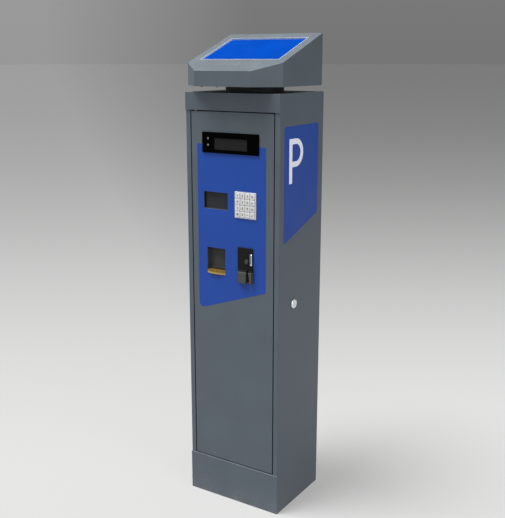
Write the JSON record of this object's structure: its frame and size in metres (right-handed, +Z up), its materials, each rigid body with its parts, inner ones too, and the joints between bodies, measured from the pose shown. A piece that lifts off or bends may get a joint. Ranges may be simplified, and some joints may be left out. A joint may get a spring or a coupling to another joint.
{
  "type": "ticket vending machine",
  "caption": "Slim free-standing ticket machine with a hinged service door, keypad, coin unit, ticket outlet and a swivelling wedge head with a sloping touch screen.",
  "frame": {"origin": "floor level, centre of the four floor-bolt holes", "axes": "+Z up, -Y out of the front (the door side), +X towards the side with the lock"},
  "size_m": [0.3362, 0.309, 1.4706],
  "materials": {
    "grey_paint": "satin powder coat",
    "black_paint": "matt black coat",
    "zinc_steel": "zinc plated",
    "chrome_metal": "polished",
    "seal_rubber": "matt",
    "black_plastic": "fine texture",
    "display_glass": "gloss",
    "indicator_plastic": "gloss",
    "steel_keys": "fine satin",
    "smoked_window": "smoked gloss",
    "amber_plastic": "translucent",
    "ticket_paper": "uncoated thermal paper",
    "cast_metal": "dark cast finish",
    "supply_case": "plain sheet",
    "circuit_board": "solder mask",
    "white_trim": "gloss white",
    "touch_screen": "gloss",
    "computer_case": "plain sheet"
  },
  "bodies": {
    "cabinet": {"base_plate": "grey_paint", "plinth_front": "grey_paint", "header_front": "grey_paint", "side_panel_left": "grey_paint", "side_panel_right": "grey_paint", "back_panel": "grey_paint", "back_panel_screws": "zinc_steel", "top_plate": "grey_paint", "hinge_pins": "zinc_steel", "lock_barrel": "chrome_metal", "coin_box": "zinc_steel", "power_supply": "supply_case", "control_board": "circuit_board", "turntable_base": "black_paint"},
    "door": {"door_panel": "grey_paint", "door_seal": "seal_rubber", "door_catch": "zinc_steel", "display_bezel": "black_plastic", "display_module": "display_glass", "indicator_lenses": "indicator_plastic", "keypad_plate": "steel_keys", "keypad_body": "black_plastic", "scanner_recess": "black_paint", "scanner_window": "smoked_window", "scanner_engine": "black_plastic", "ticket_recess": "black_paint", "ticket_lip": "amber_plastic", "ticket_printer": "black_plastic", "coin_plate": "cast_metal", "coin_entry": "chrome_metal", "coin_acceptor": "black_plastic", "coin_chute": "zinc_steel"},
    "head": {"turntable_top": "black_paint", "head_shell": "grey_paint", "head_base": "grey_paint", "screen_trim": "white_trim", "touch_glass": "touch_screen", "panel_computer": "computer_case"},
    "lock": {"lock_plug": "chrome_metal", "lock_cam": "zinc_steel"},
    "roll": {"paper_roll": "ticket_paper"},
    "platen": {"platen_roller": "seal_rubber"},
    "return_button": {"coin_return_button": "black_plastic"},
    "return_flap": {"coin_return_flap": "cast_metal"},
    "key_body_1": {"key_1": "steel_keys"},
    "key_body_2": {"key_2": "steel_keys"},
    "key_body_3": {"key_3": "steel_keys"},
    "key_body_a": {"key_a": "steel_keys"},
    "key_body_4": {"key_4": "steel_keys"},
    "key_body_5": {"key_5": "steel_keys"},
    "key_body_6": {"key_6": "steel_keys"},
    "key_body_b": {"key_b": "steel_keys"},
    "key_body_7": {"key_7": "steel_keys"},
    "key_body_8": {"key_8": "steel_keys"},
    "key_body_9": {"key_9": "steel_keys"},
    "key_body_c": {"key_c": "steel_keys"},
    "key_body_e": {"key_e": "steel_keys"},
    "key_body_0": {"key_0": "steel_keys"},
    "key_body_s": {"key_s": "steel_keys"},
    "key_body_d": {"key_d": "steel_keys"}
  },
  "joints": [
    {"name": "door_hinge", "type": "hinge", "parent": "cabinet", "child": "door", "pos_m": [-0.133, -0.119, 0.689], "axis": [0, 0, -1], "range_deg": [0, 105]},
    {"name": "lock_turn", "type": "hinge", "parent": "cabinet", "child": "lock", "pos_m": [0.165, -0.042, 0.672], "axis": [1, 0, 0], "range_deg": [0, 90]},
    {"name": "head_swivel", "type": "hinge", "parent": "cabinet", "child": "head", "pos_m": [0, 0, 1.31], "axis": [0, 0, 1], "range_deg": [-45, 45]},
    {"name": "paper_spin", "type": "hinge", "parent": "door", "child": "roll", "pos_m": [-0.0587, -0.063, 0.8495], "axis": [1, 0, 0], "continuous": true},
    {"name": "platen_spin", "type": "hinge", "parent": "door", "child": "platen", "pos_m": [-0.0587, -0.081, 0.8025], "axis": [1, 0, 0], "continuous": true},
    {"name": "return_press", "type": "slide", "parent": "door", "child": "return_button", "axis": [0, 1, 0], "range_m": [0, 0.0035], "stiffness_N_per_m": 400, "springref_m": -0.001},
    {"name": "flap_swing", "type": "hinge", "parent": "door", "child": "return_flap", "pos_m": [0.0486, -0.119, 0.7781], "axis": [1, 0, 0], "range_deg": [0, 70]},
    {"name": "key_1_press", "type": "slide", "parent": "door", "child": "key_body_1", "axis": [0, 1, 0], "range_m": [0, 0.0012], "stiffness_N_per_m": 500, "springref_m": -0.0006},
    {"name": "key_2_press", "type": "slide", "parent": "door", "child": "key_body_2", "axis": [0, 1, 0], "range_m": [0, 0.0012], "stiffness_N_per_m": 500, "springref_m": -0.0006},
    {"name": "key_3_press", "type": "slide", "parent": "door", "child": "key_body_3", "axis": [0, 1, 0], "range_m": [0, 0.0012], "stiffness_N_per_m": 500, "springref_m": -0.0006},
    {"name": "key_a_press", "type": "slide", "parent": "door", "child": "key_body_a", "axis": [0, 1, 0], "range_m": [0, 0.0012], "stiffness_N_per_m": 500, "springref_m": -0.0006},
    {"name": "key_4_press", "type": "slide", "parent": "door", "child": "key_body_4", "axis": [0, 1, 0], "range_m": [0, 0.0012], "stiffness_N_per_m": 500, "springref_m": -0.0006},
    {"name": "key_5_press", "type": "slide", "parent": "door", "child": "key_body_5", "axis": [0, 1, 0], "range_m": [0, 0.0012], "stiffness_N_per_m": 500, "springref_m": -0.0006},
    {"name": "key_6_press", "type": "slide", "parent": "door", "child": "key_body_6", "axis": [0, 1, 0], "range_m": [0, 0.0012], "stiffness_N_per_m": 500, "springref_m": -0.0006},
    {"name": "key_b_press", "type": "slide", "parent": "door", "child": "key_body_b", "axis": [0, 1, 0], "range_m": [0, 0.0012], "stiffness_N_per_m": 500, "springref_m": -0.0006},
    {"name": "key_7_press", "type": "slide", "parent": "door", "child": "key_body_7", "axis": [0, 1, 0], "range_m": [0, 0.0012], "stiffness_N_per_m": 500, "springref_m": -0.0006},
    {"name": "key_8_press", "type": "slide", "parent": "door", "child": "key_body_8", "axis": [0, 1, 0], "range_m": [0, 0.0012], "stiffness_N_per_m": 500, "springref_m": -0.0006},
    {"name": "key_9_press", "type": "slide", "parent": "door", "child": "key_body_9", "axis": [0, 1, 0], "range_m": [0, 0.0012], "stiffness_N_per_m": 500, "springref_m": -0.0006},
    {"name": "key_c_press", "type": "slide", "parent": "door", "child": "key_body_c", "axis": [0, 1, 0], "range_m": [0, 0.0012], "stiffness_N_per_m": 500, "springref_m": -0.0006},
    {"name": "key_e_press", "type": "slide", "parent": "door", "child": "key_body_e", "axis": [0, 1, 0], "range_m": [0, 0.0012], "stiffness_N_per_m": 500, "springref_m": -0.0006},
    {"name": "key_0_press", "type": "slide", "parent": "door", "child": "key_body_0", "axis": [0, 1, 0], "range_m": [0, 0.0012], "stiffness_N_per_m": 500, "springref_m": -0.0006},
    {"name": "key_s_press", "type": "slide", "parent": "door", "child": "key_body_s", "axis": [0, 1, 0], "range_m": [0, 0.0012], "stiffness_N_per_m": 500, "springref_m": -0.0006},
    {"name": "key_d_press", "type": "slide", "parent": "door", "child": "key_body_d", "axis": [0, 1, 0], "range_m": [0, 0.0012], "stiffness_N_per_m": 500, "springref_m": -0.0006}
  ],
  "couplings": [
    {"joint": "platen_spin", "follows": "paper_spin", "ratio": 6.3333}
  ]
}
